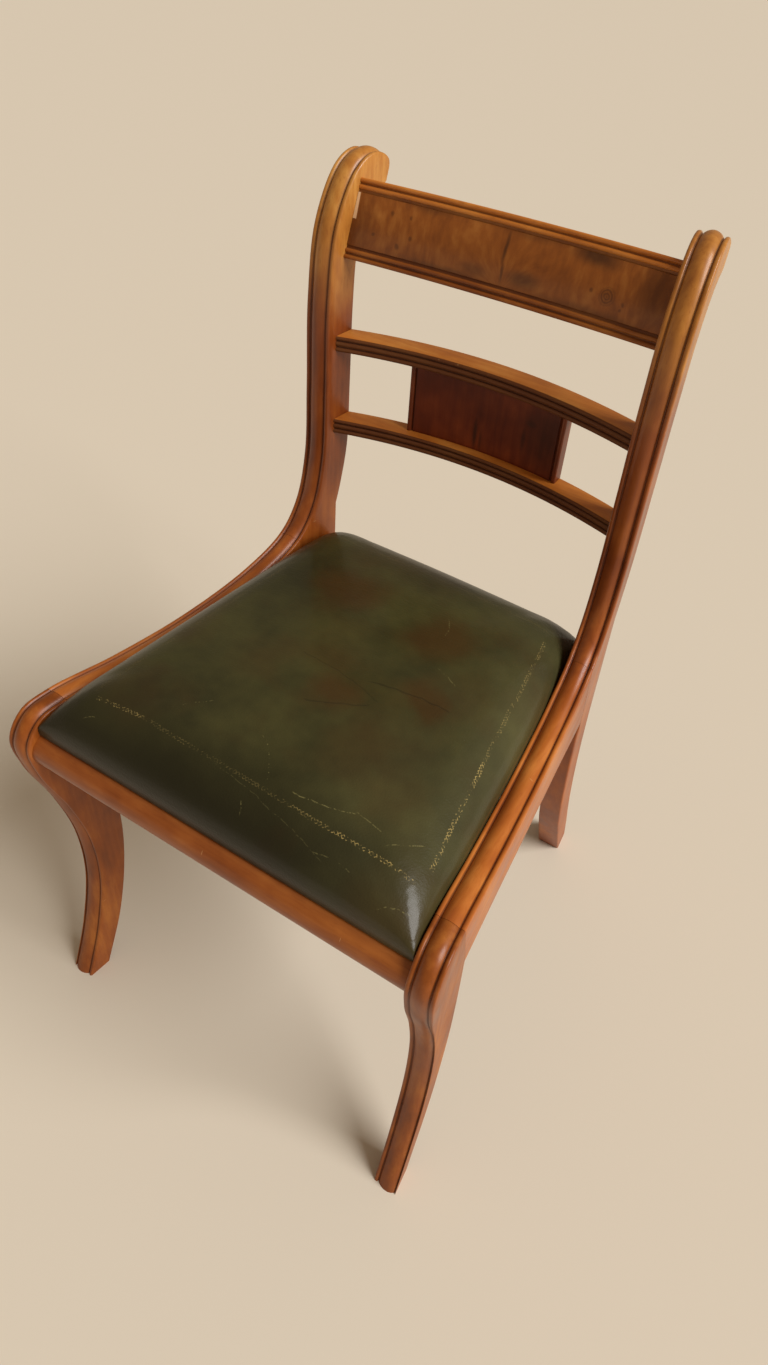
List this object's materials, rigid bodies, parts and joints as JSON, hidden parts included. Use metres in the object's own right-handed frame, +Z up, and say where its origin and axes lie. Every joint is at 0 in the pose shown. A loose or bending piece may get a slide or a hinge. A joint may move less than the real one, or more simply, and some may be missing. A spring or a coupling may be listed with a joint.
{
  "type": "dining chair",
  "caption": "Wooden bar-back dining chair with scrolled back posts, reeded cross rails, a centre tablet, sabre legs and a lift-out leather seat.",
  "frame": {"origin": "on the floor, under the middle of the chair's overall width and depth", "axes": "+Z up, the chair faces -Y, and +X is on the right as seen from the front"},
  "size_m": [0.479, 0.555, 0.8502],
  "materials": {
    "stained_wood": "orange-brown stained hardwood with a semi-gloss lacquer, dark in the grooves and worn lighter on the edges",
    "burr_veneer": "dark brown figured burr veneer under a glossy lacquer",
    "dark_veneer": "dark red-brown straight-grained veneer under a glossy lacquer",
    "plain_beech": "plain unfinished beech",
    "green_leather": "aged dark green leather with a worn gold-tooled border line",
    "webbing": "woven jute webbing",
    "black_cloth": "thin black lining cloth",
    "screw_steel": "plain zinc-plated wood screw"
  },
  "bodies": {
    "chair_frame": {"left_back_post": "stained_wood", "right_back_post": "stained_wood", "left_side_rail": "stained_wood", "right_side_rail": "stained_wood", "left_front_leg": "stained_wood", "right_front_leg": "stained_wood", "crest_rail": "stained_wood", "crest_panel": "burr_veneer", "upper_cross_rail": "stained_wood", "lower_cross_rail": "stained_wood", "centre_tablet": "stained_wood", "tablet_panel": "dark_veneer", "front_seat_rail": "stained_wood", "rear_seat_rail": "stained_wood", "left_front_corner_block": "plain_beech", "right_front_corner_block": "plain_beech", "left_rear_corner_block": "plain_beech", "right_rear_corner_block": "plain_beech", "left_front_side_screw": "screw_steel", "left_front_rail_screw": "screw_steel", "left_rear_side_screw": "screw_steel", "left_rear_rail_screw": "screw_steel", "right_front_side_screw": "screw_steel", "right_front_rail_screw": "screw_steel", "right_rear_side_screw": "screw_steel", "right_rear_rail_screw": "screw_steel", "left_rear_upper_dowel": "plain_beech", "left_rear_lower_dowel": "plain_beech", "left_front_upper_dowel": "plain_beech", "left_front_lower_dowel": "plain_beech", "right_rear_upper_dowel": "plain_beech", "right_rear_lower_dowel": "plain_beech", "right_front_upper_dowel": "plain_beech", "right_front_lower_dowel": "plain_beech"},
    "drop_in_seat": {"seat_cushion": "green_leather", "seat_frame_front": "plain_beech", "seat_frame_back": "plain_beech", "seat_frame_left": "plain_beech", "seat_frame_right": "plain_beech", "long_strap_1": "webbing", "long_strap_2": "webbing", "long_strap_3": "webbing", "cross_strap_1": "webbing", "cross_strap_2": "webbing", "cross_strap_3": "webbing", "bottom_cloth": "black_cloth"}
  },
  "joints": [
    {"name": "seat_lift", "type": "slide", "parent": "chair_frame", "child": "drop_in_seat", "axis": [0, 0, 1], "range_m": [0, 0.08]}
  ]
}
